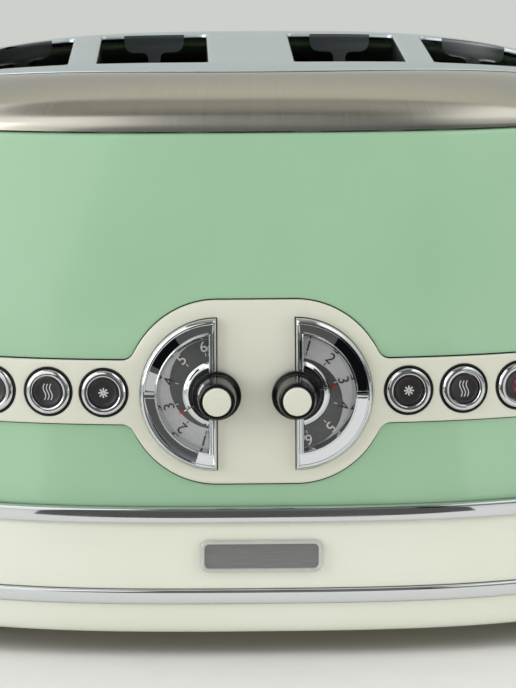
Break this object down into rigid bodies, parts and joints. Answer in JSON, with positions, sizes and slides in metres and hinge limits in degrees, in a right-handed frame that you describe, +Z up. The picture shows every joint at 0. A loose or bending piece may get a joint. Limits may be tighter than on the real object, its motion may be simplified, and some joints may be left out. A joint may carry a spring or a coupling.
{
  "type": "four-slice toaster",
  "caption": "Rounded retro toaster with wide slots in an oval deck, a pair of half dials, round push buttons, side levers and crumb trays.",
  "frame": {"origin": "on the table, under the middle of the bounding box", "axes": "+Z up, +X to the right of someone who faces the dials, +Y to the back"},
  "size_m": [0.3668, 0.305, 0.215],
  "materials": {
    "mint_enamel": "gloss enamel, pastel mint green",
    "cream_plastic": "smooth, half gloss, warm off-white",
    "brushed_steel": "brushed stainless steel",
    "satin_steel": "fine satin steel",
    "chrome_trim": "polished chrome",
    "badge_metal": "brushed field with a polished raised rim, left bare",
    "black_gloss": "gloss black",
    "dial_grey": "smooth grey with plain numerals",
    "pointer_red": "red",
    "black_rubber": "matt black rubber",
    "terminal_plastic": "moulded black",
    "circuit_board": "green board with black parts",
    "heater_mica": "mica sheet, dull",
    "zinc_sheet": "plain zinc-coated sheet",
    "spring_steel": "plain steel wire",
    "magnet_iron": "iron core with a wound coil",
    "base_steel": "plain grey sheet with vent slots"
  },
  "bodies": {
    "case": {"badge_plate": "badge_metal", "base_plate": "base_steel", "base_shell": "cream_plastic", "body_shell": "mint_enamel", "bread_guard_left": "zinc_sheet", "bread_guard_right": "zinc_sheet", "chamber_frame_left": "zinc_sheet", "chamber_frame_right": "zinc_sheet", "control_board": "circuit_board", "control_panel": "cream_plastic", "cord_inlet": "black_rubber", "dial_bezel_left": "chrome_trim", "dial_bezel_right": "chrome_trim", "dial_face_left": "dial_grey", "dial_face_right": "dial_grey", "foot_back_left": "black_rubber", "foot_back_right": "black_rubber", "foot_front_left": "black_rubber", "foot_front_right": "black_rubber", "guide_rod_left": "chrome_trim", "guide_rod_right": "chrome_trim", "heater_board_left_inner": "heater_mica", "heater_board_left_middle": "heater_mica", "heater_board_left_outer": "heater_mica", "heater_board_right_inner": "heater_mica", "heater_board_right_middle": "heater_mica", "heater_board_right_outer": "heater_mica", "holding_magnet_left": "magnet_iron", "holding_magnet_right": "magnet_iron", "lever_panel_left": "cream_plastic", "lever_panel_right": "cream_plastic", "lid_shell": "brushed_steel", "lower_trim_strip": "chrome_trim", "return_spring_left": "spring_steel", "return_spring_right": "spring_steel", "terminal_block": "terminal_plastic", "top_deck": "satin_steel", "upper_trim_strip": "chrome_trim"},
    "dial_left": {"knob_left": "black_gloss", "knob_cap_left": "cream_plastic", "dial_pointer_left": "pointer_red"},
    "dial_right": {"knob_right": "black_gloss", "knob_cap_right": "cream_plastic", "dial_pointer_right": "pointer_red"},
    "press_button_left_defrost": {"button_left_defrost": "chrome_trim"},
    "press_button_left_reheat": {"button_left_reheat": "chrome_trim"},
    "press_button_left_cancel": {"button_left_cancel": "chrome_trim"},
    "press_button_right_defrost": {"button_right_defrost": "chrome_trim"},
    "press_button_right_reheat": {"button_right_reheat": "chrome_trim"},
    "press_button_right_cancel": {"button_right_cancel": "chrome_trim"},
    "lift_left": {"lift_carriage_left": "zinc_sheet", "bread_rack_left_inner": "zinc_sheet", "bread_rack_left_outer": "zinc_sheet", "lever_knob_left": "cream_plastic"},
    "lift_right": {"lift_carriage_right": "zinc_sheet", "bread_rack_right_inner": "zinc_sheet", "bread_rack_right_outer": "zinc_sheet", "lever_knob_right": "cream_plastic"},
    "tray_left": {"crumb_tray_left": "zinc_sheet"},
    "tray_right": {"crumb_tray_right": "zinc_sheet"}
  },
  "joints": [
    {"name": "turn_dial_left", "type": "hinge", "parent": "case", "child": "dial_left", "pos_m": [-0.0147, -0.1356, 0.09875], "axis": [0, 1, 0], "range_deg": [-48.8, 101.2]},
    {"name": "turn_dial_right", "type": "hinge", "parent": "case", "child": "dial_right", "pos_m": [0.0147, -0.1356, 0.09875], "axis": [0, 1, 0], "range_deg": [-64.6, 85.4]},
    {"name": "press_left_defrost", "type": "slide", "parent": "case", "child": "press_button_left_defrost", "axis": [0.1282, 0.9917, 0], "range_m": [0, 0.002], "stiffness_N_per_m": 300, "springref_m": -0.002},
    {"name": "press_left_reheat", "type": "slide", "parent": "case", "child": "press_button_left_reheat", "axis": [0.2314, 0.9729, 0], "range_m": [0, 0.002], "stiffness_N_per_m": 300, "springref_m": -0.002},
    {"name": "press_left_cancel", "type": "slide", "parent": "case", "child": "press_button_left_cancel", "axis": [0.3716, 0.9284, 0], "range_m": [0, 0.002], "stiffness_N_per_m": 300, "springref_m": -0.002},
    {"name": "press_right_defrost", "type": "slide", "parent": "case", "child": "press_button_right_defrost", "axis": [-0.1282, 0.9917, 0], "range_m": [0, 0.002], "stiffness_N_per_m": 300, "springref_m": -0.002},
    {"name": "press_right_reheat", "type": "slide", "parent": "case", "child": "press_button_right_reheat", "axis": [-0.2314, 0.9729, 0], "range_m": [0, 0.002], "stiffness_N_per_m": 300, "springref_m": -0.002},
    {"name": "press_right_cancel", "type": "slide", "parent": "case", "child": "press_button_right_cancel", "axis": [-0.3716, 0.9284, 0], "range_m": [0, 0.002], "stiffness_N_per_m": 300, "springref_m": -0.002},
    {"name": "lower_lift_left", "type": "slide", "parent": "case", "child": "lift_left", "axis": [0, 0, -1], "range_m": [0, 0.06], "stiffness_N_per_m": 80, "springref_m": -0.1, "deforming": ["return_spring_left"]},
    {"name": "lower_lift_right", "type": "slide", "parent": "case", "child": "lift_right", "axis": [0, 0, -1], "range_m": [0, 0.06], "stiffness_N_per_m": 80, "springref_m": -0.1, "deforming": ["return_spring_right"]},
    {"name": "draw_tray_left", "type": "slide", "parent": "case", "child": "tray_left", "axis": [0, 1, 0], "range_m": [0, 0.18]},
    {"name": "draw_tray_right", "type": "slide", "parent": "case", "child": "tray_right", "axis": [0, 1, 0], "range_m": [0, 0.18]}
  ]
}
